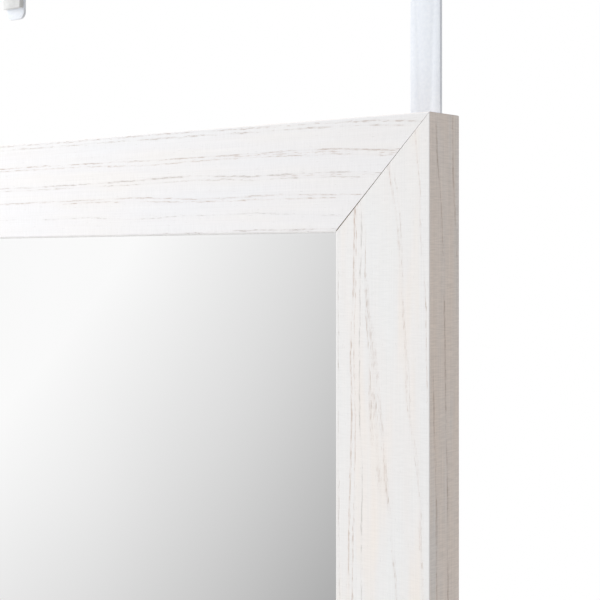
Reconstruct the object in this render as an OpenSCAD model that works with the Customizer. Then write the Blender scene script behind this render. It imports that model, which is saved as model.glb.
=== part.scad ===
// Over the door mirror: a mitred, rebated frame with a silvered pane, hung from a door's top edge
// by two slotted steel hangers. Millimetres, +Z up, the mirror faces -Y and +X is to the right of
// someone who looks into it. The origin is on the door's top edge, at its front face, midway
// between the hooks: the door's front face is y = 0 and its top is z = 0.

/* [Frame] */
// Width of the whole frame
frame_w = 360; // [300:1:420]
// Height of the whole frame
frame_h = 1270; // [900:5:1500]
// Width of the moulding's face
face_w = 47.5; // [44:0.5:60]
// Depth of the moulding, front to back
frame_d = 23; // [19:0.5:28]
// Thickness of the lip in front of the glass
lip_t = 5; // [3:0.25:7]
// Width of the rebate behind the lip
rebate_w = 8.5; // [6:0.5:10]
// Radius of the face's outer edge
edge_r = 0.5; // [0.3:0.1:1.5]
// Width of the bevel along the sight edge
sight_bevel = 0.6; // [0.4:0.1:2]
// Radius of the outer edge at the back
back_r = 2; // [1:0.5:5]
// Width of the mitre's seam at the outer corner
seam_out = 0.14; // [0.02:0.02:0.2]
// Width of the mitre's seam at the sight edge
seam_in = 0.5; // [0.1:0.05:0.6]

/* [Mirror] */
// Thickness of the glass
glass_t = 3; // [3:0.5:4]
// Thickness of the foam sheet behind the glass
foam_t = 1; // [0.5:0.5:2]
// Thickness of the back board
board_t = 2.5; // [2:0.5:3]
// Gap between the pane and the rebate's side walls
pane_gap = 0.75; // [0.5:0.25:1.5]

/* [Retaining points] */
// Points along each stile
points_on_stile = 5; // [3:1:7]
// Points along each rail
points_on_rail = 2; // [2:1:3]
// Length of a point
point_l = 15; // [12:0.5:18]
// Width of a point
point_w = 6; // [5:0.5:8]
// Thickness of a point
point_t = 0.5; // [0.4:0.05:0.6]
// How deep a point is driven into the rebate's wall
point_bite = 6; // [4:0.5:7]
// From the sight opening's corner to the centre of the first point
point_margin = 60; // [40:1:80]

/* [V-nails] */
// Length of each wing of a V-nail
nail_wing = 6; // [4:0.5:7]
// Thickness of a V-nail
nail_t = 0.5; // [0.4:0.05:0.6]
// Length of a V-nail into the moulding
nail_h = 10; // [7:0.5:12]
// How far a V-nail is sunk below the back
nail_sink = 0.4; // [0.2:0.1:1]
// From the outer sides to the first V-nail's apex
nail_first = 9; // [8:0.5:10]
// From the first V-nail's apex to the second's
nail_pitch = 14; // [12:0.5:15]
// Room around what is driven into the moulding
drive_gap = 0.05; // [0.02:0.01:0.1]

/* [Hangers] */
// Width of the strap
strap_w = 15; // [12:0.5:18]
// Thickness of the strap
strap_t = 1.8; // [1.2:0.1:2.2]
// From the frame's outer side to the strap's edge
strap_inset = 10.3; // [6:0.1:12]
// Gap between strap and frame, which lets the strap slide
slide_gap = 0.1; // [0.05:0.05:0.3]
// Inside radius of the hook's bends
bend_r = 2; // [1.5:0.5:2.5]
// Radius of the strap's end corners
end_r = 4; // [2:0.5:5]
// Thickest door that the hook takes, between its pads
door_gap = 45; // [36:1:50]
// Length of the leg behind the door
drop = 32; // [30:1:60]
// Height of the door's top over the frame's top
rise = 115; // [70:1:130]
// How far the strap slides up and down from the middle of its slot
travel = 20; // [10:1:25]
// Width of the slot
slot_w = 4.4; // [4.2:0.1:5]
// Strap left below the slot
strap_tail = 12; // [8:1:20]

/* [Screws and washers] */
// From the frame's top to the upper screw
screw_drop = 50; // [45:1:60]
// Distance between the two screws of a hanger
screw_pitch = 50; // [40:1:60]
// Diameter of the screw's shank
screw_d = 3.5; // [3:0.1:4]
// Length of the screw under its head
screw_l = 16; // [12:1:18]
// Length of the screw's point
screw_point = 3; // [2:0.5:4]
// Diameter of the screw's pan head
head_d = 7; // [6:0.5:8]
// Height of the screw's pan head
head_h = 1.9; // [1.5:0.1:2]
// Radius of the pan head's edge
head_r = 1.2; // [0.5:0.1:1.4]
// Outer diameter of the washer
washer_d = 9; // [8.5:0.5:10]
// Thickness of the washer
washer_t = 0.5; // [0.4:0.1:0.6]
// Radial room between the washer and the shank
washer_gap = 0.15; // [0.1:0.05:0.3]

/* [Pads and bumpers] */
// Thickness of the hook's foam pads
pad_t = 3; // [3:0.5:4]
// Length of the pad on the hook's front leg
front_pad_l = 30; // [20:1:40]
// From the hook's corners to its pads
pad_margin = 1; // [0.5:0.5:2]
// Strap left bare below the rear pad
rear_tip = 6; // [5:1:10]
// Diameter of the bumpers
bumper_d = 12; // [10:1:16]
// Radius of the bumper's edge
bumper_r = 1.5; // [0.5:0.5:2]
// From the frame's outer side to a bumper's centre
bumper_inset = 60; // [55:1:90]

/* [Hidden] */
$fn = 64;

// How far a cutter runs past the face that it opens.
over = 1;

// The frame's planes: the strap stands off the door by its pads, and the frame lies on the strap.
strap_back = -pad_t;
strap_front = strap_back - strap_t;
back_y = strap_front - slide_gap;
front_y = back_y - frame_d;
top_z = -rise;
bottom_z = top_z - frame_h;
middle_z = (top_z + bottom_z) / 2;
side_x = frame_w / 2;

// The pane, the foam and the board share one outline and stand on the bottom rail's rebate.
wall_in = face_w - rebate_w;
pane_w = frame_w - 2 * (wall_in + pane_gap);
pane_h = frame_h - 2 * (wall_in + pane_gap);
pane_bottom = bottom_z + wall_in;
glass_y = front_y + lip_t;
foam_y = glass_y + glass_t;
board_y = foam_y + foam_t;
point_y = board_y + board_t;

// The strap's centre line, its slot and its length below the door's top.
strap_x = side_x - strap_inset - strap_w / 2;
upper_screw_z = top_z - screw_drop;
lower_screw_z = upper_screw_z - screw_pitch;
slot_end = travel + slot_w / 2;
strap_end = lower_screw_z - slot_end - strap_tail;

// The washer lies on the strap's back, and the head on the washer.
washer_y = strap_back + slide_gap / 2;
head_y = washer_y + washer_t;

white_wash = [0.93, 0.92, 0.90];
mirror_grey = [0.80, 0.84, 0.85];
foam_white = [0.92, 0.93, 0.94];
hardboard = [0.55, 0.40, 0.26];
zinc = [0.72, 0.74, 0.76];
powder_white = [0.91, 0.93, 0.95];
pad_grey = [0.80, 0.80, 0.79];
bumper_clear = [0.86, 0.87, 0.87];

// What a convex corner at the origin loses when it is rounded; the material is in +X +Y.
module corner_waste(r) {
    difference() {
        translate([-over, -over]) square(r + over);
        translate([r, r]) circle(r);
    }
}

// What a convex corner at the origin loses to a bevel; the material is in -X +Y.
module bevel_waste(w) {
    polygon([[-w - over, -over], [over, -over], [over, w + over]]);
}

// Section of the moulding: x runs from the outer side to the sight edge, y from the front back.
module moulding_section() {
    difference() {
        square([face_w, frame_d]);
        translate([wall_in, lip_t]) square([rebate_w + over, frame_d]);
        corner_waste(edge_r);
        translate([face_w, 0]) bevel_waste(sight_bevel);
        translate([0, frame_d]) mirror([0, 1]) corner_waste(back_r);
    }
}

// How far the mitre's cut lies from the bar's end, at a distance u from its outer side.
function cut_at(u) = u + (seam_out + (seam_in - seam_out) * u / face_w) / sqrt(2);

// A plate in the frame's plane: the outline's x and y become X and Z, from y0 back by t.
module plate(y0, t) {
    translate([0, y0 + t, 0]) rotate([90, 0, 0]) linear_extrude(t) children();
}

// A mitred bar that stands on its lower end, with its outer side on x = 0 and its front on y = 0.
module mitred_bar(length) {
    inner = face_w + over;
    intersection() {
        linear_extrude(length) moulding_section();
        plate(-over, frame_d + 2 * over)
            polygon([[-over, cut_at(-over)], [inner, cut_at(inner)],
                     [inner, length - cut_at(inner)], [-over, length - cut_at(-over)]]);
    }
}

// Puts what is drawn for the upper right quarter of the frame into all four quarters.
module in_four_corners() {
    for (side = [-1, 1], end = [-1, 1])
        translate([0, 0, middle_z]) flipped(side, end) translate([0, 0, -middle_z]) children();
}

// Flips what is drawn for the right and upper side to the left, to the lower side, or both.
module flipped(side, end) {
    mirror([side < 0 ? 1 : 0, 0, 0]) mirror([0, 0, end < 0 ? 1 : 0]) children();
}

// Outline of a V-nail with its apex at the origin and a wing along each rail, grown by room.
module nail_outline(room) {
    near = nail_t / 2 + room;
    far = nail_wing + room;
    polygon([[near, near], [-far, near], [-far, -near], [-near, -near], [-near, -far], [near, -far]]);
}

// The two V-nails of each corner; the cut for them runs out through the back.
module v_nails(room = 0, past = 0) {
    depth = nail_sink + nail_h;
    in_four_corners()
        for (i = [0, 1])
            translate([side_x - nail_first - i * nail_pitch, 0, top_z - nail_first - i * nail_pitch])
                plate(back_y - depth - room, nail_h + room + past) nail_outline(room);
}

// Outline of a retaining point that is driven towards +X from the rebate's wall at x = 0.
module point_outline(room) {
    half = point_w / 2 + room;
    tip = point_bite + room;
    polygon([[point_bite - point_l, -half], [0, -half], [tip, 0], [0, half],
             [point_bite - point_l, half]]);
}

// Places what lies across a bar's rebate wall, count times between the margins.
module along(length, count) {
    span = length - 2 * point_margin;
    for (i = [0 : count - 1]) translate([0, 0, -span / 2 + i * span / (count - 1)]) children();
}

// All retaining points, lying on the board.
module points(room = 0) {
    sight_w = frame_w - 2 * face_w;
    sight_h = frame_h - 2 * face_w;
    thick = point_t + 2 * room;
    for (side = [-1, 1]) {
        translate([0, 0, middle_z]) flipped(side, 1) translate([side_x - wall_in, 0, 0])
            along(sight_h, points_on_stile) plate(point_y - room, thick) point_outline(room);
        translate([0, 0, middle_z]) flipped(1, side) translate([0, 0, frame_h / 2 - wall_in])
            rotate([0, -90, 0])
                along(sight_w, points_on_rail) plate(point_y - room, thick) point_outline(room);
    }
}

// Puts what is drawn on a hanger's screw line at both screws of one side.
module at_screws(side) {
    for (z = [upper_screw_z, lower_screw_z]) translate([side * strap_x, 0, z]) children();
}

// A pilot hole for a screw, with a little room past its point.
module pilot_hole() {
    depth = screw_l - (head_y - back_y) + over;
    translate([0, back_y + over, 0]) rotate([90, 0, 0])
        cylinder(h = depth + over, r = screw_d / 2 + drive_gap);
}

module top_bar() {
    translate([-side_x, front_y, top_z]) rotate([0, 90, 0]) mitred_bar(frame_w);
}

module left_bar() {
    translate([-side_x, front_y, bottom_z]) mitred_bar(frame_h);
}

// What the driven steel takes out of every bar.
module driven_cuts() {
    v_nails(drive_gap, nail_sink + over);
    points(drive_gap);
}

module top_rail() {
    color(white_wash) difference() {
        top_bar();
        driven_cuts();
    }
}

module bottom_rail() {
    color(white_wash) difference() {
        translate([0, 0, 2 * middle_z]) mirror([0, 0, 1]) top_bar();
        driven_cuts();
    }
}

module stile(side) {
    color(white_wash) difference() {
        flipped(-side, 1) left_bar();
        driven_cuts();
        at_screws(side) pilot_hole();
    }
}

module corner_v_nails() {
    color(zinc) v_nails();
}

// A sheet in the rebate, from y0 back by t.
module rebate_sheet(y0, t) {
    translate([-pane_w / 2, y0, pane_bottom]) cube([pane_w, t, pane_h]);
}

module mirror_pane() {
    color(mirror_grey) rebate_sheet(glass_y, glass_t);
}

module foam_sheet() {
    color(foam_white) rebate_sheet(foam_y, foam_t);
}

module back_board() {
    color(hardboard) rebate_sheet(board_y, board_t);
}

module retaining_points() {
    color(zinc) points();
}

// Side view of the strap, with Y to the right and Z up: front leg, bridge and rear leg.
module strap_outline() {
    outer_r = bend_r + strap_t;
    rear_back = door_gap + pad_t + strap_t;
    top = pad_t + strap_t;
    difference() {
        union() {
            translate([strap_front, -drop]) square([rear_back - strap_front, top + drop]);
            translate([strap_front, strap_end]) square([strap_t, -strap_end]);
        }
        translate([strap_back, -drop - over]) hook_hollow();
        translate([strap_front, top]) mirror([0, 1]) corner_waste(outer_r);
        translate([rear_back, top]) mirror([1, 0]) mirror([0, 1]) corner_waste(outer_r);
    }
}

// The hollow of the hook, open at its foot.
module hook_hollow() {
    w = door_gap + 2 * pad_t;
    h = drop + over + pad_t;
    difference() {
        square([w, h]);
        translate([0, h]) mirror([0, 1]) corner_waste(bend_r);
        translate([w, h]) mirror([1, 0]) mirror([0, 1]) corner_waste(bend_r);
    }
}

// What rounds the two corners of a strap's lower end at x = 0, from y0 back through the strap.
module end_waste(y0) {
    plate(y0 - over, strap_t + 2 * over)
        for (side = [0, 1])
            mirror([side, 0]) translate([-strap_w / 2, 0]) corner_waste(end_r);
}

// The slot that the screws stand in, from the upper screw's travel to the lower one's.
module slot() {
    ends = [upper_screw_z + travel, lower_screw_z - travel];
    translate([0, strap_back + over, 0]) rotate([90, 0, 0]) linear_extrude(strap_t + 2 * over) {
        for (z = ends) translate([0, z]) circle(d = slot_w);
        translate([-slot_w / 2, ends[1]]) square([slot_w, ends[0] - ends[1]]);
    }
}

module hanger(side) {
    rear_front = door_gap + pad_t;
    color(powder_white) translate([side * strap_x, 0, 0]) difference() {
        translate([-strap_w / 2, 0, 0]) rotate([90, 0, 90]) linear_extrude(strap_w) strap_outline();
        slot();
        translate([0, 0, strap_end]) end_waste(strap_front);
        translate([0, 0, -drop]) end_waste(rear_front);
    }
}

// A pan head screw that is driven towards -Y, with the face under its head on y = 0.
module screw() {
    rotate([90, 0, 0]) {
        cylinder(h = screw_l - screw_point, d = screw_d);
        translate([0, 0, screw_l - screw_point]) cylinder(h = screw_point, d1 = screw_d, d2 = 0.4);
        mirror([0, 0, 1]) rotate_extrude() difference() {
            square([head_d / 2, head_h]);
            translate([head_d / 2, head_h]) mirror([1, 0]) mirror([0, 1]) corner_waste(head_r);
        }
    }
}

module hanger_screws(side) {
    color(zinc) at_screws(side) translate([0, head_y, 0]) screw();
}

module hanger_washers(side) {
    color(zinc) at_screws(side) translate([0, head_y, 0]) rotate([90, 0, 0]) difference() {
        cylinder(h = washer_t, d = washer_d);
        translate([0, 0, -over])
            cylinder(h = washer_t + 2 * over, r = screw_d / 2 + washer_gap);
    }
}

// The pad between the front leg and the door.
module hook_front_pad(side) {
    color(pad_grey) translate([side * strap_x - strap_w / 2, strap_back, -pad_margin - front_pad_l])
        cube([strap_w, pad_t, front_pad_l]);
}

// The pad between the bridge and the door's top.
module hook_seat_pad(side) {
    color(pad_grey) translate([side * strap_x - strap_w / 2, pad_margin, 0])
        cube([strap_w, door_gap - 2 * pad_margin, pad_t]);
}

// The pad between the rear leg and the door's back.
module hook_rear_pad(side) {
    length = drop - rear_tip - pad_margin;
    color(pad_grey) translate([side * strap_x - strap_w / 2, door_gap, -pad_margin - length])
        cube([strap_w, pad_t, length]);
}

// A bumper stuck to the middle of a rail's back; its face bears on the door.
module bumper(side, end) {
    x = side * (side_x - bumper_inset);
    z = end > 0 ? top_z - wall_in / 2 : bottom_z + wall_in / 2;
    color(bumper_clear) translate([x, back_y, z]) rotate([-90, 0, 0]) rotate_extrude() difference() {
        square([bumper_d / 2, -back_y]);
        translate([bumper_d / 2, -back_y]) mirror([1, 0]) mirror([0, 1]) corner_waste(bumper_r);
    }
}

top_rail();
bottom_rail();
stile(-1);  // left_stile
stile(1);  // right_stile
corner_v_nails();
mirror_pane();
foam_sheet();
back_board();
retaining_points();
hanger(-1);  // left_hanger
hanger(1);  // right_hanger
hanger_screws(-1);  // left_hanger_screws
hanger_screws(1);  // right_hanger_screws
hanger_washers(-1);  // left_hanger_washers
hanger_washers(1);  // right_hanger_washers
hook_front_pad(-1);  // left_hook_front_pad
hook_seat_pad(-1);  // left_hook_seat_pad
hook_rear_pad(-1);  // left_hook_rear_pad
hook_front_pad(1);  // right_hook_front_pad
hook_seat_pad(1);  // right_hook_seat_pad
hook_rear_pad(1);  // right_hook_rear_pad
bumper(-1, 1);  // upper_left_bumper
bumper(1, 1);  // upper_right_bumper
bumper(-1, -1);  // lower_left_bumper
bumper(1, -1);  // lower_right_bumper
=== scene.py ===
# Over the door mirror: the looks of its foiled frame, silvered pane and steel hangers.
import math

import bpy
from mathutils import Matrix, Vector


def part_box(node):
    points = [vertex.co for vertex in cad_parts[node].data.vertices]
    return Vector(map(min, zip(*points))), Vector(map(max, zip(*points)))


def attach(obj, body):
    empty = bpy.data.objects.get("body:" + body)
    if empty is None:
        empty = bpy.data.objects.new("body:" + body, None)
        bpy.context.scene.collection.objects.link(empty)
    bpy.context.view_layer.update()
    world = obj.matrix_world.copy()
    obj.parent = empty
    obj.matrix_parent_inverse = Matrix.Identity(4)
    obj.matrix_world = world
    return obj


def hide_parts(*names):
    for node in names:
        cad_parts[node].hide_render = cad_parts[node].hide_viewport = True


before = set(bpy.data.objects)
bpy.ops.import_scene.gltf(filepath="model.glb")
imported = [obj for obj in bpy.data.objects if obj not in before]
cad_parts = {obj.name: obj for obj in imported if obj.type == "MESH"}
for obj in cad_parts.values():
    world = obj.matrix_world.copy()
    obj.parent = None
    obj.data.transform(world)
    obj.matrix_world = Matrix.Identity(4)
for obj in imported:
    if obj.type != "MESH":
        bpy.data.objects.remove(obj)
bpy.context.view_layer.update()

# --- Camera -----------------------------------------------------------------------------------
# A level camera to the right of the frame, close to its upper right corner. It looks across the
# mirror to the left, and its lens is shifted instead of tilted, so that uprights stay upright.
MM = 0.001
corner = Vector((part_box("right_stile")[1].x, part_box("right_stile")[0].y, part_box("top_rail")[1].z))
camera_from_corner = Vector((324.27, -486.01, -61.59)) * MM
camera_turn = 38.8
lens_mm = 87.38
lens_shift = -0.0574

bpy.ops.object.select_all(action="DESELECT")
bpy.ops.object.camera_add(location=corner + camera_from_corner,
                          rotation=(math.radians(90), 0, math.radians(camera_turn)))
camera = bpy.context.object
camera.name = "camera"
camera.data.lens = lens_mm
camera.data.shift_y = lens_shift
bpy.context.scene.camera = camera

# --- Frame bars -------------------------------------------------------------------------------
# Four mitred bars of rebated MDF moulding. A printed foil, white-washed ash with an embossed
# grain, is wrapped from the lip over the bevel, the face and the outer side to a strip of the
# back; the rebate and the rest of the back stay raw MDF, as does the sawn face of every mitre.
bars_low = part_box("left_stile")[0]
bars_high = Vector((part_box("right_stile")[1].x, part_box("right_stile")[1].y, corner.z))
bar_face = (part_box("top_rail")[1].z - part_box("top_rail")[0].z) / MM
bar_depth = (bars_high.y - bars_low.y) / MM
sight_bevel = 0.6


def hex_colour(code):
    """Linear colour of an sRGB hex value."""
    parts = [int(code[i:i + 2], 16) / 255 for i in (1, 3, 5)]
    return [p / 12.92 if p <= 0.04045 else ((p + 0.055) / 1.055) ** 2.4 for p in parts] + [1.0]


def add(tree, kind, links=None, stops=None, points=None, **settings):
    """Adds a shader node with its settings.

    Each link names a socket and the node, socket or value that feeds it. Stops are the places
    and colours of a colour ramp, and points are those of a float curve.
    """
    made = tree.nodes.new("ShaderNode" + kind)
    for name, value in settings.items():
        setattr(made, name, value)
    for socket, source in (links or {}).items():
        if isinstance(source, bpy.types.Node):
            tree.links.new(source.outputs[0], made.inputs[socket])
        elif isinstance(source, bpy.types.NodeSocket):
            tree.links.new(source, made.inputs[socket])
        else:
            made.inputs[socket].default_value = source
    if stops:
        ramp = made.color_ramp
        ramp.elements[0].position, ramp.elements[0].color = stops[0]
        ramp.elements[1].position, ramp.elements[1].color = stops[-1]
        for position, colour in stops[1:-1]:
            ramp.elements.new(position).color = colour
    if points:
        line = made.mapping.curves[0]
        line.points[0].location = points[0]
        line.points[1].location = points[-1]
        for point in points[1:-1]:
            line.points.new(*point)
        made.mapping.extend = "HORIZONTAL"
        made.mapping.update()
    return made


def new_finish(name):
    """An empty material and its node tree."""
    finish = bpy.data.materials.new(name)
    finish.use_nodes = True
    finish.node_tree.nodes.clear()
    return finish, finish.node_tree


def fibres(tree, flat, across_mm, along_mm, shift, detail=1.0):
    """Noise on the unrolled foil, with patches of that size across and along the grain."""
    spot = add(tree, "VectorMath", {0: flat, 1: (1 / across_mm, 1 / along_mm, 1),
                                    2: (shift, shift, 0)}, operation="MULTIPLY_ADD")
    return add(tree, "TexNoise", {"Vector": spot, "Scale": 1.0, "Detail": detail, "Roughness": 0.5},
               noise_dimensions="2D")


def ash_foil(name, length_axis, along_factor, along_start, out_axis, out_factor, out_start,
             rows, washes, shift):
    """White-washed ash foil over MDF on one bar.

    The place along the bar, and the distance from its outer side, are a factor times the place
    on an axis, plus a start. A row of pores is a line of points, each a place along the bar and
    a distance from the outer side in millimetres, with half its width, its strength and how
    brown it is. The washes are the white wash's cool, middle and warm tints, and the shift
    gives each bar its own noise.
    """
    finish, tree = new_finish(name)
    place = add(tree, "SeparateXYZ", {0: add(tree, "TexCoord").outputs["Object"]})
    along = add(tree, "Math", {0: place.outputs[length_axis], 1: along_factor / MM,
                               2: along_start / MM}, operation="MULTIPLY_ADD")
    out = add(tree, "Math", {0: place.outputs[out_axis], 1: out_factor / MM, 2: out_start / MM},
              operation="MULTIPLY_ADD")
    depth = add(tree, "Math", {0: place.outputs["Y"], 1: 1 / MM, 2: -bars_low.y / MM},
                operation="MULTIPLY_ADD")

    # The foil unrolled: positive on the face, from 0 to minus the depth on the side, and on
    # below that over the strip that is folded onto the back.
    on_front = add(tree, "Math", {0: depth, 1: bar_depth / 2}, operation="LESS_THAN")
    turn = add(tree, "Math", {0: on_front, 1: 2.0, 2: -1.0}, operation="MULTIPLY_ADD")
    across = add(tree, "Math", {0: out, 1: turn}, operation="MULTIPLY")
    across = add(tree, "Math", {0: across, 1: depth}, operation="SUBTRACT")
    flat = add(tree, "CombineXYZ", {0: across, 1: along})

    # The rows wander, as they do in sawn ash: a slow drift, and a quicker waver half as wide.
    drift, waver = 1.4, 0.7
    slow = fibres(tree, flat, 12, 60, shift)
    quick = fibres(tree, flat, 2.5, 11, shift + 7)
    bend = add(tree, "Math", {0: slow, 1: drift, 2: -drift / 2}, operation="MULTIPLY_ADD")
    bend = add(tree, "Math", {0: quick, 1: waver, 2: bend}, operation="MULTIPLY_ADD")
    bend = add(tree, "Math", {0: bend, 1: waver / 2}, operation="SUBTRACT")
    wavy = add(tree, "Math", {0: across, 1: bend}, operation="ADD")

    # Each row's line is a curve over the whole bar, drawn in a box that takes in face and side.
    # A row is fullest at its heart and fades to its rim and its ends. Along it the pores thin out
    # and thicken again at every 20 mm or so.
    box_length, box_low, box_high = 1400.0, -30.0, 50.0
    box_height = box_high - box_low
    heart, rim = 0.2, 1.8
    end_fade = 6 / box_length
    ebb_length, ebb_shift = 22, 31.7
    share = add(tree, "Math", {0: along, 1: 1 / box_length}, operation="MULTIPLY")
    dense, brown = 0.0, 0.0
    for number, (line, half, strength, tone) in enumerate(rows):
        line = [(at / box_length, (off - box_low) / box_height) for at, off in line]
        centre = add(tree, "FloatCurve", {"Value": share}, points=line)
        centre = add(tree, "Math", {0: centre, 1: box_height, 2: box_low}, operation="MULTIPLY_ADD")
        gap = add(tree, "Math", {0: wavy, 1: centre}, operation="SUBTRACT")
        gap = add(tree, "Math", {0: gap}, operation="ABSOLUTE")
        row = add(tree, "MapRange", {"Value": gap, "From Min": half * rim, "From Max": half * heart,
                                     "To Max": strength}, interpolation_type="SMOOTHSTEP")
        ebb = add(tree, "Math", {0: along, 1: 1 / ebb_length, 2: ebb_shift * number + shift},
                  operation="MULTIPLY_ADD")
        ebb = add(tree, "TexNoise", {"W": ebb, "Scale": 1.0, "Detail": 1.0}, noise_dimensions="1D")
        ebb = add(tree, "MapRange", {"Value": ebb, "From Min": 0.34, "From Max": 0.60,
                                     "To Min": 0.35, "To Max": 1.0})
        row = add(tree, "Math", {0: row, 1: ebb}, operation="MULTIPLY")
        for end, fade in ((line[0][0], end_fade), (line[-1][0], -end_fade)):
            shown = add(tree, "MapRange", {"Value": share, "From Min": end - fade,
                                           "From Max": end + fade}, interpolation_type="SMOOTHSTEP")
            row = add(tree, "Math", {0: row, 1: shown}, operation="MULTIPLY")
        dense = add(tree, "Math", {0: row, 1: dense}, operation="MAXIMUM")
        row_brown = add(tree, "Math", {0: row, 1: tone}, operation="MULTIPLY")
        brown = add(tree, "Math", {0: row_brown, 1: brown}, operation="MAXIMUM")

    # Pores are dashes, a quarter of a millimetre wide and 2 to 6 mm long: the higher a row's
    # strength, the closer they lie. Between the rows they are rare.
    specks = fibres(tree, flat, 0.28, 4.2, shift + 3, 2.0)
    lifted = add(tree, "Math", {0: dense, 1: 0.35, 2: specks}, operation="MULTIPLY_ADD")
    pore = add(tree, "MapRange", {"Value": lifted, "From Min": 0.70, "From Max": 0.88},
               interpolation_type="SMOOTHSTEP")
    divisor = add(tree, "Math", {0: dense, 1: 0.1}, operation="MAXIMUM")
    brown = add(tree, "Math", {0: brown, 1: divisor}, operation="DIVIDE")

    # White wash: broad warm and cool patches, a cooler strip along the face's outer edge, and on the
    # side a warmer, slightly darker tint, which is painted warm shade on every bar's outer side.
    patch = fibres(tree, flat, 13, 110, shift + 52, 2.0)
    wash = add(tree, "ValToRGB", {0: patch}, stops=[(0.30, hex_colour(washes[0])),
                                                   (0.50, hex_colour(washes[1])),
                                                   (0.70, hex_colour(washes[2]))])
    edge = add(tree, "MapRange", {"Value": across, "From Min": 5.5, "From Max": 3.5, "To Max": 0.5},
               interpolation_type="SMOOTHSTEP")
    wash = add(tree, "Mix", {"Factor": edge, "A": wash, "B": hex_colour("#EFEFF0")}, data_type="RGBA")
    # Painted warm shade: the same foil, tinted warmer and darker where it turns onto the outer side.
    side_painted_warm_shade = add(tree, "ValToRGB", {0: patch}, stops=[(0.32, hex_colour("#EAE3DE")),
                                                        (0.45, hex_colour("#EDE2DA")),
                                                        (0.62, hex_colour("#EFE2D8"))])
    on_side = add(tree, "MapRange", {"Value": across, "From Min": 0.3, "From Max": -0.5},
                  interpolation_type="SMOOTHSTEP")
    wash = add(tree, "Mix", {"Factor": on_side, "A": wash.outputs["Result"], "B": side_painted_warm_shade},
               data_type="RGBA")

    # Ink goes from grey to brown. It stands in the pores, and a trace of it tints the row.
    ink = add(tree, "Mix", {"Factor": brown, "A": hex_colour("#A5A09D"), "B": hex_colour("#B08C74")},
              data_type="RGBA")
    trace = add(tree, "Math", {0: dense, 1: 0.10}, operation="MULTIPLY")
    tinted = add(tree, "Mix", {"Factor": trace, "A": wash.outputs["Result"],
                               "B": ink.outputs["Result"]}, data_type="RGBA")
    cover = add(tree, "Math", {0: pore, 1: 0.48}, operation="MULTIPLY")
    inked = add(tree, "Mix", {"Factor": cover, "A": tinted.outputs["Result"],
                              "B": ink.outputs["Result"]}, data_type="RGBA")

    # Fine streaks along the grain and, across it, the faint hatch that the press leaves. Both are
    # stronger on the side.
    streaks = fibres(tree, flat, 0.6, 45, shift + 5, 2.0)
    hatch = fibres(tree, flat, 6, 0.6, shift + 9)
    fine = add(tree, "Math", {0: streaks, 1: hatch}, operation="ADD")
    fine = add(tree, "Math", {0: fine, 1: -1.0}, operation="ADD")
    amount = add(tree, "MapRange", {"Value": on_side, "To Min": 0.07, "To Max": 0.22})
    fine = add(tree, "Math", {0: fine, 1: amount, 2: 1.0}, operation="MULTIPLY_ADD")
    foil = add(tree, "VectorMath", {0: inked.outputs["Result"], 1: fine}, operation="MULTIPLY")

    # Over the bevel and round the lip the foil is painted whiter: a painted highlight along the sight
    # edge.
    bevel_painted_light = add(tree, "MapRange", {"Value": out, "From Min": bar_face - sight_bevel,
                                       "From Max": bar_face - sight_bevel / 2, "To Max": 0.7})
    foil = add(tree, "Mix", {"Factor": bevel_painted_light, "A": foil, "B": hex_colour("#F9F8F7")},
               data_type="RGBA")

    # Raw MDF shows wherever the foil isn't wrapped: in the rebate, on the sawn mitres, and on the
    # back beyond the strip that the foil is folded onto.
    folded, near = 8.0, 0.8
    skin = add(tree, "Math", {0: depth, 1: near / 2}, operation="LESS_THAN")
    side = add(tree, "Math", {0: out, 1: near}, operation="LESS_THAN")
    lip = add(tree, "Math", {0: out, 1: bar_face - sight_bevel - 0.1}, operation="GREATER_THAN")
    back = add(tree, "Math", {0: depth, 1: bar_depth - near}, operation="GREATER_THAN")
    fold = add(tree, "Math", {0: out, 1: folded}, operation="LESS_THAN")
    back = add(tree, "Math", {0: back, 1: fold}, operation="MULTIPLY")
    for more in (side, lip, back):
        skin = add(tree, "Math", {0: skin, 1: more}, operation="MAXIMUM")
    board = fibres(tree, flat, 0.8, 1.1, shift + 13, 3.0)
    mdf = add(tree, "ValToRGB", {0: board}, stops=[(0.30, hex_colour("#B0966F")),
                                                  (0.70, hex_colour("#C2AA85"))])
    colour = add(tree, "Mix", {"Factor": skin, "A": mdf, "B": foil.outputs["Result"]},
                 data_type="RGBA")
    rough = add(tree, "MapRange", {"Value": skin, "To Min": 0.9, "To Max": 0.52})

    # The pores are embossed, and the hatch stands up a quarter as far.
    ridges = add(tree, "Math", {0: hatch, 1: 0.25}, operation="MULTIPLY")
    relief = add(tree, "Math", {0: pore, 1: -1.0, 2: ridges}, operation="MULTIPLY_ADD")
    bump = add(tree, "Bump", {"Height": relief, "Strength": 0.35, "Distance": 0.04 * MM})
    surface = add(tree, "BsdfPrincipled", {"Base Color": colour.outputs["Result"], "Roughness": rough,
                                           "Normal": bump, "IOR": 1.5})
    add(tree, "OutputMaterial", {"Surface": surface})
    return finish


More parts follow.
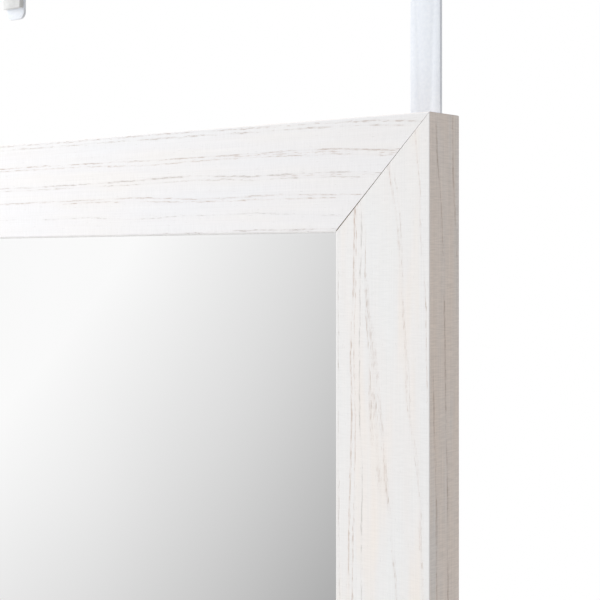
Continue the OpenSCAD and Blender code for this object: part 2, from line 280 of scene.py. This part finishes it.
# The rails' print: four double rows, about 9 mm apart, and two single ones towards the sight
# edge. Near the corner two of the double rows have a third strand. Three rows run on the side.
rail_rows = [
    ([(2, 3.6), (24, 2.3), (60, 1.2), (140, 0.8), (360, 1.2)], 0.38, 0.8, 0.6),
    ([(12, 4.8), (45, 3.1), (137, 2.6), (360, 3.4)], 0.38, 0.8, 0.5),
    ([(12, 14.8), (45, 13.0), (69, 12.1), (106, 12.6), (202, 12.2), (360, 12.5)], 0.38, 1.0, 0.6),
    ([(16, 16.6), (40, 15.3), (66, 14.3), (172, 14.4), (202, 13.7), (360, 14.5)], 0.35, 0.8, 0.7),
    ([(22, 23.8), (50, 22.3), (94, 22.6), (133, 21.0), (203, 22.1), (360, 22.0)], 0.38, 1.0, 0.3),
    ([(34, 25.0), (66, 23.9), (89, 24.4), (118, 23.0), (163, 23.3), (360, 24.0)], 0.35, 0.7, 0.4),
    ([(33, 31.9), (77, 31.3), (121, 31.5), (159, 30.0), (202, 30.2), (360, 31.0)], 0.38, 0.9, 0.6),
    ([(45, 33.0), (91, 33.0), (121, 32.7), (159, 31.6), (215, 31.4)], 0.35, 0.8, 0.7),
    ([(41, 40.6), (83, 39.1), (140, 38.8), (163, 39.5), (202, 38.7), (360, 39.5)], 0.35, 0.6, 0.1),
    ([(44, 46.0), (63, 46.2), (90, 46.5), (117, 46.8), (160, 47.2)], 0.38, 0.9, 0.2),
    ([(12, 15.7), (45, 14.1), (68, 13.2), (106, 13.4)], 0.35, 0.7, 0.8),
    ([(24, 24.6), (50, 23.2), (80, 23.3)], 0.35, 0.7, 0.7),
    ([(0, -4.0), (120, -5.0), (360, -4.0)], 0.5, 0.8, 0.6),
    ([(0, -11.0), (180, -13.0), (360, -12.0)], 0.5, 0.8, 0.5),
    ([(0, -18.0), (200, -17.0), (360, -18.5)], 0.5, 0.7, 0.6),
]
# The stiles' print: brown and grey rows near the sight edge, rows that lean over to the outer
# side, three rows on that side, and fans of strands down the whole bar.
stile_rows = [
    ([(46, 45.4), (96, 46.0), (168, 45.4), (400, 46.0), (800, 45.0), (1225, 45.8)], 0.35, 0.6, 0.4),
    ([(34, 37.3), (66, 38.1), (97, 39.7), (118, 39.1), (143, 39.1), (178, 40.2), (300, 39.5),
      (520, 41.0), (800, 39.0), (1235, 40.5)], 0.5, 1.0, 1.0),
    ([(34, 36.0), (66, 36.8), (97, 38.1), (117, 37.3), (164, 37.3), (178, 38.1), (520, 38.8),
      (800, 37.0), (1235, 38.4)], 0.35, 0.8, 0.9),
    ([(33, 34.5), (49, 33.5), (66, 34.5), (128, 34.5), (148, 33.2), (177, 34.0), (320, 34.6),
      (560, 35.8), (820, 34.0), (1235, 35.2)], 0.38, 0.9, 0.1),
    ([(48, 31.5), (82, 31.4), (94, 30.4), (111, 28.9), (130, 27.0)], 0.35, 0.8, 0.8),
    ([(8, 22.0), (31, 18.3), (45, 15.8), (72, 13.3), (101, 11.4), (114, 11.4), (126, 8.9),
      (141, 5.8), (156, 4.6), (174, 4.1), (240, 2.0)], 0.6, 0.55, 0.8),
    ([(24, 17.5), (45, 14.2), (66, 13.0), (88, 12.2), (106, 9.9), (124, 9.4), (136, 7.5), (165, 3.0)],
     0.35, 0.6, 0.5),
    ([(0, 7.4), (20, 5.8), (30, 4.6), (43, 5.0), (67, 2.4), (91, 1.7), (125, 1.0)], 0.35, 0.7, 0.8),
    ([(0, -4.3), (19, -5.4), (35, -8.3), (59, -9.8), (116, -11.7), (175, -13.2), (320, -15.0),
      (560, -12.0), (900, -14.0), (1270, -12.5)], 0.5, 1.0, 0.7),
    ([(0, -17.2), (23, -17.6), (40, -18.9), (60, -20.5)], 0.5, 0.9, 0.8),
    ([(105, -2.3), (128, -3.2), (148, -4.7), (176, -5.1), (300, -6.0), (600, -4.0), (1000, -6.5),
      (1270, -5.0)], 0.5, 0.9, 0.8),
]
# A fan opens downwards: its first strand leans over to the outer side, and shorter ones, which
# lean less, fill in behind it.
fan = [(0, 31.2), (14, 29.4), (28, 27.3), (43, 25.8), (67, 22.8), (87, 21.3), (103, 19.3),
       (160, 14.0), (240, 9.5), (360, 5.5)]
fan_root = fan[0][1]
fan_strength, fan_tone = 0.62, 0.7
for start, reach in ((66, 1.0), (330, 1.15), (640, 1.05), (930, 1.1)):
    for lean, points, half in ((1.0, 10, 0.8), (0.67, 6, 1.0), (0.33, 5, 1.0)):
        strand = [(start + at * reach, fan_root - (fan_root - off) * lean)
                  for at, off in fan[:points]]
        stile_rows.append((strand, half, fan_strength, fan_tone))

# The rails' wash is near neutral, and the stiles' goes over from neutral to a peach.
rail_washes = ("#EFEFF1", "#F0EFF0", "#F1EFEE")
stile_washes = ("#F0F0F0", "#F1EFEE", "#F4EEE9")

# The top rail's and the right stile's prints start at the upper right corner, and the other two
# at the lower left one.
foils = {
    "top_rail": ("X", -1, bars_high.x, "Z", -1, bars_high.z, rail_rows, rail_washes, 0.0),
    "right_stile": ("Z", -1, bars_high.z, "X", -1, bars_high.x, stile_rows, stile_washes, 20.0),
    "left_stile": ("Z", 1, -bars_low.z, "X", 1, -bars_low.x, stile_rows, stile_washes, 41.0),
    "bottom_rail": ("X", 1, -bars_low.x, "Z", 1, -bars_low.z, rail_rows, rail_washes, 63.0),
}
for bar, facts in foils.items():
    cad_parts[bar].data.materials[0] = ash_foil("white_washed_ash_foil_on_mdf_" + bar, *facts)

# --- Corner V-nails ---------------------------------------------------------------------------
# Folded strips of zinc-plated steel, pressed into the back across each mitre before anything
# else goes into the frame. Only their thin rear edges show.


def zinc_steel(name, roughness):
    """Bright zinc plate on steel: cool grey, with the faint cloudiness that the bath leaves."""
    finish, tree = new_finish(name)
    place = add(tree, "TexCoord").outputs["Object"]
    cloud = add(tree, "TexNoise", {"Vector": place, "Scale": 1 / (3 * MM), "Detail": 3.0})
    colour = add(tree, "ValToRGB", {0: cloud}, stops=[(0.3, hex_colour("#B9BDC1")),
                                                     (0.7, hex_colour("#CDD0D3"))])
    rough = add(tree, "MapRange", {"Value": cloud, "To Min": roughness - 0.08,
                                   "To Max": roughness + 0.08})
    surface = add(tree, "BsdfPrincipled", {"Base Color": colour, "Metallic": 1.0, "Roughness": rough})
    add(tree, "OutputMaterial", {"Surface": surface})
    return finish


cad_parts["corner_v_nails"].data.materials[0] = zinc_steel("zinc_plated_spring_steel", 0.38)

# --- Mirror pane ------------------------------------------------------------------------------
# A sheet of 3 mm float glass, silvered behind and painted grey over the silver, with ground
# edges. It stands on the bottom rail's rebate and lies against the lip.


def new_piece(name):
    """Names the new primitive and returns it."""
    piece = bpy.context.object
    piece.name = name
    piece.data.name = name
    return piece


def settle(piece, finishes, slot, body, *replaced):
    """Brings a finished piece's place into its mesh and hands it to its body."""
    bpy.ops.object.select_all(action="DESELECT")
    piece.select_set(True)
    bpy.context.view_layer.objects.active = piece
    bpy.ops.object.transform_apply(location=True, rotation=True, scale=True)
    piece.data.materials.clear()
    for finish in finishes:
        piece.data.materials.append(finish)
    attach(piece, body)
    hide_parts(*replaced)


def block(name, low, high):
    """A box between two corners, to be shaped further."""
    low, high = Vector(low), Vector(high)
    bpy.ops.object.select_all(action="DESELECT")
    bpy.ops.mesh.primitive_cube_add(size=1, location=(low + high) / 2)
    piece = new_piece(name)
    piece.scale = high - low
    bpy.ops.object.transform_apply(location=True, rotation=True, scale=True)
    return piece


def soften(piece, width, segments, angle=30):
    """Rounds the edges of a piece that are sharper than an angle in degrees."""
    bevel = piece.modifiers.new("soften", "BEVEL")
    bevel.width = width
    bevel.segments = segments
    bevel.limit_method = "ANGLE"
    bevel.angle_limit = math.radians(angle)
    bpy.context.view_layer.objects.active = piece
    bpy.ops.object.modifier_apply(modifier=bevel.name)


def silvered_front():
    """Silver behind clear float glass: a sharp, even, neutral reflection."""
    finish, tree = new_finish("silvered_float_glass")
    place = add(tree, "TexCoord").outputs["Object"]
    wave = add(tree, "TexNoise", {"Vector": place, "Scale": 1 / (90 * MM), "Detail": 0.0})
    colour = add(tree, "ValToRGB", {0: wave}, stops=[(0.3, hex_colour("#F9F9F9")),
                                                    (0.7, hex_colour("#FBFBFB"))])
    surface = add(tree, "BsdfPrincipled", {"Base Color": colour, "Metallic": 1.0, "Roughness": 0.0})
    add(tree, "OutputMaterial", {"Surface": surface})
    return finish


def ground_glass_edge():
    """The ground edge of float glass: dull bottle green."""
    finish, tree = new_finish("ground_float_glass_edge")
    place = add(tree, "TexCoord").outputs["Object"]
    grit = add(tree, "TexNoise", {"Vector": place, "Scale": 1 / (0.4 * MM), "Detail": 2.0})
    colour = add(tree, "ValToRGB", {0: grit}, stops=[(0.3, hex_colour("#7FA396")),
                                                    (0.7, hex_colour("#A3C2B6"))])
    surface = add(tree, "BsdfPrincipled", {"Base Color": colour, "Roughness": 0.55, "IOR": 1.52})
    add(tree, "OutputMaterial", {"Surface": surface})
    return finish


def backing_paint():
    """Grey backing paint over the silver, rolled on thinly."""
    finish, tree = new_finish("grey_mirror_backing_paint")
    place = add(tree, "TexCoord").outputs["Object"]
    roller = add(tree, "TexNoise", {"Vector": place, "Scale": 1 / (1.5 * MM), "Detail": 3.0})
    colour = add(tree, "ValToRGB", {0: roller}, stops=[(0.3, hex_colour("#6E7478")),
                                                      (0.7, hex_colour("#7C8286"))])
    bump = add(tree, "Bump", {"Height": roller, "Strength": 0.2, "Distance": 0.05 * MM})
    surface = add(tree, "BsdfPrincipled", {"Base Color": colour, "Roughness": 0.45, "Normal": bump})
    add(tree, "OutputMaterial", {"Surface": surface})
    return finish


seamed_edge = 0.5 * MM
pane = block("silvered_pane", *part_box("mirror_pane"))
soften(pane, seamed_edge, 1)
settle(pane, [ground_glass_edge(), silvered_front(), backing_paint()], "mirror", "frame",
       "mirror_pane")
edge_finish, front_finish, back_finish = 0, 1, 2
for face in pane.data.polygons:
    face.material_index = edge_finish
    if face.normal.y < -0.9:
        face.material_index = front_finish
    if face.normal.y > 0.9:
        face.material_index = back_finish

# --- Foam sheet -------------------------------------------------------------------------------
# A thin sheet of white polyethylene foam behind the glass. It takes up the play between the
# pane and the board, so that the glass doesn't rattle.


def foam(name, dark, light):
    """Closed-cell foam: matt, finely pitted, a little uneven in tone."""
    finish, tree = new_finish(name)
    place = add(tree, "TexCoord").outputs["Object"]
    cells = add(tree, "TexVoronoi", {"Vector": place, "Scale": 1 / (0.7 * MM)})
    tone = add(tree, "TexNoise", {"Vector": place, "Scale": 1 / (6 * MM), "Detail": 2.0})
    colour = add(tree, "ValToRGB", {0: tone}, stops=[(0.35, hex_colour(dark)),
                                                    (0.65, hex_colour(light))])
    bump = add(tree, "Bump", {"Height": cells.outputs["Distance"], "Strength": 0.35,
                              "Distance": 0.12 * MM})
    surface = add(tree, "BsdfPrincipled", {"Base Color": colour, "Roughness": 0.85, "Normal": bump,
                                           "Specular IOR Level": 0.3})
    add(tree, "OutputMaterial", {"Surface": surface})
    return finish


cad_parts["foam_sheet"].data.materials[0] = foam("white_polyethylene_foam", "#E4E5E5", "#F0F1F1")

# --- Back board -------------------------------------------------------------------------------
# Hardboard, wet-pressed wood fibre, with its smooth brown side out. It closes the rebate and
# keeps the foam against the glass.


def hardboard():
    """Pressed wood fibre: warm brown, mottled, with darker specks and pale fibres."""
    finish, tree = new_finish("smooth_brown_hardboard")
    place = add(tree, "TexCoord").outputs["Object"]
    mottle = add(tree, "TexNoise", {"Vector": place, "Scale": 1 / (5 * MM), "Detail": 5.0,
                                    "Roughness": 0.65})
    fleck = add(tree, "TexNoise", {"Vector": place, "Scale": 1 / (0.9 * MM), "Detail": 2.0})
    colour = add(tree, "ValToRGB", {0: mottle}, stops=[(0.30, hex_colour("#77573A")),
                                                      (0.52, hex_colour("#8B6A48")),
                                                      (0.72, hex_colour("#9C7B57"))])
    speck = add(tree, "MapRange", {"Value": fleck, "From Min": 0.62, "From Max": 0.72, "To Max": 0.5})
    colour = add(tree, "Mix", {"Factor": speck, "A": colour, "B": hex_colour("#5A3F28")},
                 data_type="RGBA")
    bump = add(tree, "Bump", {"Height": fleck, "Strength": 0.2, "Distance": 0.05 * MM})
    surface = add(tree, "BsdfPrincipled", {"Base Color": colour.outputs["Result"], "Roughness": 0.5,
                                           "Normal": bump})
    add(tree, "OutputMaterial", {"Surface": surface})
    return finish


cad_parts["back_board"].data.materials[0] = hardboard()

# --- Retaining points -------------------------------------------------------------------------
# Flat diamonds of zinc-plated steel, driven into the rebate's wall over the board. They hold the
# board, the foam and the glass against the lip.
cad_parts["retaining_points"].data.materials[0] = zinc_steel("zinc_plated_points", 0.3)

# --- Bumpers ----------------------------------------------------------------------------------
# Round buttons of soft polyurethane, stuck to the rails' backs. They rest on the door and keep
# the frame as far off it as strap and pad do.


def milky_polyurethane():
    """Soft milky polyurethane that lets a little light through, with a satin skin."""
    finish, tree = new_finish("milky_polyurethane")
    place = add(tree, "TexCoord").outputs["Object"]
    haze = add(tree, "TexNoise", {"Vector": place, "Scale": 1 / (4 * MM), "Detail": 2.0})
    colour = add(tree, "ValToRGB", {0: haze}, stops=[(0.3, hex_colour("#E6E9E9")),
                                                    (0.7, hex_colour("#F1F3F3"))])
    surface = add(tree, "BsdfPrincipled", {"Base Color": colour, "Roughness": 0.22, "IOR": 1.49,
                                           "Transmission Weight": 0.3})
    add(tree, "OutputMaterial", {"Surface": surface})
    return finish


bumper_finish = milky_polyurethane()
for end in ("upper", "lower"):
    for side in ("left", "right"):
        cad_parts[f"{end}_{side}_bumper"].data.materials[0] = bumper_finish

# --- Hangers ----------------------------------------------------------------------------------
# Flat steel bar, 15 x 1.8 mm with its coat, bent into a hook at the top and slotted at the foot,
# deburred and then powder-coated white. Each slides on its own two screws.


def powder_coat():
    """White powder coat: cool white, satin, with a fine orange peel."""
    finish, tree = new_finish("white_powder_coat")
    place = add(tree, "TexCoord").outputs["Object"]
    peel = add(tree, "TexNoise", {"Vector": place, "Scale": 1 / (0.9 * MM), "Detail": 1.0})
    tone = add(tree, "TexNoise", {"Vector": place, "Scale": 1 / (1.6 * MM), "Detail": 2.0})
    colour = add(tree, "ValToRGB", {0: tone}, stops=[(0.3, hex_colour("#EAEFF7")),
                                                    (0.7, hex_colour("#F1F5FB"))])
    bump = add(tree, "Bump", {"Height": peel, "Strength": 0.3, "Distance": 0.05 * MM})
    surface = add(tree, "BsdfPrincipled", {"Base Color": colour, "Roughness": 0.42, "Normal": bump})
    add(tree, "OutputMaterial", {"Surface": surface})
    return finish


def broken_edges(node, name, width, segments):
    """A copy of a solid's mesh with its sharp edges broken."""
    piece = bpy.data.objects.new(name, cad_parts[node].data.copy())
    bpy.context.scene.collection.objects.link(piece)
    piece.data.name = name
    bpy.ops.object.select_all(action="DESELECT")
    piece.select_set(True)
    bpy.context.view_layer.objects.active = piece
    if piece.data.has_custom_normals:
        bpy.ops.mesh.customdata_custom_splitnormals_clear()
    bpy.ops.object.mode_set(mode="EDIT")
    bpy.ops.mesh.select_all(action="SELECT")
    bpy.ops.mesh.remove_doubles(threshold=0.01 * MM)
    bpy.ops.mesh.dissolve_limited(angle_limit=math.radians(1))
    bpy.ops.object.mode_set(mode="OBJECT")
    soften(piece, width, segments, 40)
    bpy.ops.object.shade_smooth_by_angle(angle=math.radians(35))
    return piece


coat = powder_coat()
for side in ("left", "right"):
    strap = broken_edges(f"{side}_hanger", f"{side}_coated_hanger", 0.25 * MM, 2)
    settle(strap, [coat], "powder_coat", f"{side}_hook", f"{side}_hanger")

# --- Washers ----------------------------------------------------------------------------------
# Stamped zinc-plated washers. Each lies on the strap over its slot and takes the screw's head.
washer_finish = zinc_steel("zinc_plated_washer_steel", 0.32)
for side in ("left", "right"):
    pair = broken_edges(f"{side}_hanger_washers", f"{side}_stamped_washers", 0.08 * MM, 2)
    settle(pair, [washer_finish], "plated_steel", "frame", f"{side}_hanger_washers")

# --- Screws -----------------------------------------------------------------------------------
# Zinc-plated pan head screws with a cross recess and a coarse thread, cold-headed and rolled.
# Driven through washer and slot into the stile, they grip the strap and hold the hanger's height.


def select_where(piece, wanted):
    """Selects the vertices for which wanted(place) holds, and goes into edit mode."""
    bpy.ops.object.mode_set(mode="EDIT")
    bpy.ops.mesh.select_mode(type="VERT")
    bpy.ops.mesh.select_all(action="DESELECT")
    bpy.ops.object.mode_set(mode="OBJECT")
    for vertex in piece.data.vertices:
        vertex.select = wanted(vertex.co)
    bpy.ops.object.mode_set(mode="EDIT")


def pan_head(name, radius, height):
    """A head on z = 0 with a round shoulder and a cross recess in its top.

    The recess is cut by two blades: four-sided cones, narrower at the foot and squeezed flat.
    """
    shoulder = height * 0.6
    blade_foot, blade_mouth, blade_flatness = radius * 0.36, radius * 0.80, 0.24
    bpy.ops.object.select_all(action="DESELECT")
    bpy.ops.mesh.primitive_cylinder_add(vertices=40, radius=radius, depth=height,
                                        location=(0, 0, height / 2))
    head = new_piece(name)
    bpy.ops.object.transform_apply(location=True)
    select_where(head, lambda place: place.z > height * 0.9)
    bpy.ops.mesh.bevel(offset=shoulder, segments=5, affect="EDGES")
    bpy.ops.object.mode_set(mode="OBJECT")
    for turn in (45, 135):
        bpy.ops.mesh.primitive_cone_add(vertices=4, radius1=blade_foot, radius2=blade_mouth,
                                        depth=height, location=(0, 0, height * 0.95))
        blade = bpy.context.object
        blade.rotation_euler.z = math.radians(45)
        bpy.ops.object.transform_apply(rotation=True)
        blade.scale.y = blade_flatness
        blade.rotation_euler.z = math.radians(turn)
        recess = head.modifiers.new("recess", "BOOLEAN")
        recess.object = blade
        recess.operation = "DIFFERENCE"
        bpy.context.view_layer.objects.active = head
        bpy.ops.object.modifier_apply(modifier=recess.name)
        bpy.data.objects.remove(blade)
    return head


def threaded_shank(radius, length):
    """A shank below z = 0: a plain neck, a core that ends in a point, and a helical thread.

    The neck is sunk into the head, and the core starts inside the neck.
    """
    neck, neck_radius, sunk = length * 0.18, radius * 0.9, 0.2 * MM
    core_top, core_radius = neck * 0.9, radius * 0.70
    point, tip_share = length * 0.19, 0.12
    core_foot = length - point
    bpy.ops.object.select_all(action="DESELECT")
    bpy.ops.mesh.primitive_cylinder_add(vertices=24, radius=neck_radius, depth=neck + sunk,
                                        location=(0, 0, (sunk - neck) / 2))
    collar = bpy.context.object
    bpy.ops.mesh.primitive_cylinder_add(vertices=24, radius=core_radius, depth=core_foot - core_top,
                                        location=(0, 0, -(core_foot + core_top) / 2))
    shank = bpy.context.object
    bpy.ops.object.transform_apply(location=True)
    select_where(shank, lambda place: place.z < -core_foot * 0.9)
    bpy.ops.mesh.extrude_region_move(TRANSFORM_OT_translate={"value": (0, 0, -point)})
    bpy.ops.transform.resize(value=(tip_share, tip_share, 1), center_override=(0, 0, 0))
    bpy.ops.object.mode_set(mode="OBJECT")

    ridge = radius * 0.32
    turns = 7
    pitch = (core_foot - neck) / (turns + 0.6)
    bpy.ops.mesh.primitive_circle_add(vertices=3, radius=ridge,
                                      location=(radius - ridge, 0, -core_foot),
                                      rotation=(math.radians(90), 0, math.radians(-90)))
    thread = bpy.context.object
    bpy.ops.object.transform_apply(location=True, rotation=True)
    coil = thread.modifiers.new("coil", "SCREW")
    coil.screw_offset = pitch
    coil.iterations = turns
    coil.steps = 24
    coil.render_steps = 24
    bpy.ops.object.modifier_apply(modifier=coil.name)
    bpy.ops.object.mode_set(mode="EDIT")
    bpy.ops.mesh.select_all(action="SELECT")
    bpy.ops.mesh.fill_holes(sides=0)
    bpy.ops.mesh.select_all(action="SELECT")
    bpy.ops.mesh.normals_make_consistent(inside=False)
    bpy.ops.object.mode_set(mode="OBJECT")
    return [collar, shank, thread]


# The lower screw of a pair came to rest at another angle than the upper one.
screw_finish = zinc_steel("zinc_plated_screw_steel", 0.26)
head_height = 1.9 * MM
second_turn = 25
for side in ("left", "right"):
    low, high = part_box(f"{side}_hanger_screws")
    head_radius = (high.x - low.x) / 2
    screw = pan_head(f"{side}_pan_head_screws", head_radius, head_height)
    shank = threaded_shank(head_radius / 2, high.y - head_height - low.y)
    bpy.ops.object.select_all(action="DESELECT")
    for piece in [screw] + shank:
        piece.select_set(True)
    bpy.context.view_layer.objects.active = screw
    bpy.ops.object.join()
    bpy.ops.object.shade_smooth_by_angle(angle=math.radians(35))
    screw.rotation_euler.x = math.radians(-90)
    screw.location = ((low.x + high.x) / 2, high.y - head_height, high.z - head_radius)
    bpy.ops.object.duplicate()
    second = bpy.context.object
    second.location.z = low.z + head_radius
    second.rotation_euler.y = math.radians(second_turn)
    screw.select_set(True)
    bpy.context.view_layer.objects.active = screw
    bpy.ops.object.join()
    settle(screw, [screw_finish], "plated_steel", "frame", f"{side}_hanger_screws")

# --- Hook pads --------------------------------------------------------------------------------
# Self-adhesive pads of closed-cell foam inside each hook. They keep the steel off the door's
# paint and take up the play of a thinner door.
pad_finish = foam("grey_white_eva_foam", "#D9DADA", "#E6E7E7")
pad_round = 0.6 * MM
for side in ("left", "right"):
    for place in ("front", "seat", "rear"):
        node = f"{side}_hook_{place}_pad"
        pad = block(f"{side}_{place}_foam_pad", *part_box(node))
        soften(pad, pad_round, 3)
        bpy.ops.object.shade_smooth_by_angle(angle=math.radians(40))
        settle(pad, [pad_finish], "foam", f"{side}_hook", node)

# --- Studio -----------------------------------------------------------------------------------
# A pale floor under the hung mirror, as far below as a door is high, that fades into a white
# surround. A tall strip lamp stands close in front to the left, so its light falls off along the
# rail, and soft light comes from overhead. Glass and metal reflect a wall that goes over from
# white on the left to grey.
door_height = 2.03
floor_radius = 4.0

bpy.ops.object.select_all(action="DESELECT")
bpy.ops.mesh.primitive_circle_add(vertices=96, radius=floor_radius, fill_type="NGON",
                                  location=(0, 0, -door_height))
floor = new_piece("floor")
finish, tree = new_finish("pale_floor")
place = add(tree, "TexCoord").outputs["Object"]
reach = add(tree, "VectorMath", {0: place}, operation="LENGTH")
rim = add(tree, "MapRange", {"Value": reach.outputs["Value"], "From Min": floor_radius * 0.35,
                             "From Max": floor_radius * 0.98}, interpolation_type="SMOOTHSTEP")
pale = add(tree, "BsdfDiffuse", {"Color": hex_colour("#F2F1EF")})
clear = add(tree, "BsdfTransparent")
add(tree, "OutputMaterial", {"Surface": add(tree, "MixShader", {0: rim, 1: pale, 2: clear})})
floor.data.materials.append(finish)

world = bpy.data.worlds.new("studio")
world.use_nodes = True
bpy.context.scene.world = world
tree = world.node_tree
tree.nodes.clear()

# The wall that glass and metal show: it gets lighter to the left and upwards.
way = add(tree, "SeparateXYZ", {0: add(tree, "TexCoord").outputs["Generated"]})
leftward = add(tree, "MapRange", {"Value": way.outputs["X"], "From Min": -0.40, "From Max": -0.85,
                                  "To Min": 0.345, "To Max": 1.17}, interpolation_type="SMOOTHSTEP")
upward = add(tree, "Math", {0: way.outputs["Z"], 1: leftward}, operation="ADD")
wall = add(tree, "Clamp", {"Value": upward, "Min": 0.35, "Max": 1.0})

# The soft light: least from the right, more from the left and below, and most from overhead.
steep = add(tree, "Math", {0: way.outputs["Z"]}, operation="ABSOLUTE")
ambient = add(tree, "Math", {0: way.outputs["X"], 1: -0.24, 2: 0.40}, operation="MULTIPLY_ADD")
ambient = add(tree, "Math", {0: way.outputs["Z"], 1: 0.32, 2: ambient}, operation="MULTIPLY_ADD")
ambient = add(tree, "Math", {0: steep, 1: 0.63, 2: ambient}, operation="MULTIPLY_ADD")

# The camera sees white, glass and metal see the wall, and all else gets the soft light.
path = add(tree, "LightPath")
mirrored = add(tree, "Math", {0: path.outputs["Is Glossy Ray"], 1: path.outputs["Is Transmission Ray"]},
               operation="MAXIMUM")
level = add(tree, "Mix", {"Factor": mirrored, "A": ambient, "B": wall}, data_type="FLOAT")
level = add(tree, "Mix", {"Factor": path.outputs["Is Camera Ray"], "A": level.outputs["Result"],
                          "B": 1.0}, data_type="FLOAT")
light = add(tree, "Background", {"Color": (1, 1, 1, 1), "Strength": level.outputs["Result"]})
add(tree, "OutputWorld", {"Surface": light})

# The tall strip lamp.
lamp_place = Vector((-0.56, -0.60, 0.10))
lamp_aim = Vector((0.05, 0, 0.05))
bpy.ops.object.select_all(action="DESELECT")
bpy.ops.object.light_add(type="AREA", location=lamp_place)
lamp = bpy.context.object
lamp.name = "key_lamp"
lamp.data.shape = "RECTANGLE"
lamp.data.size = 0.35
lamp.data.size_y = 1.7
lamp.data.energy = 5.7
lamp.rotation_euler = (lamp_aim - lamp_place).to_track_quat("-Z", "Y").to_euler()
lamp.visible_glossy = False
lamp.visible_camera = False

bpy.context.scene.view_settings.view_transform = "Standard"
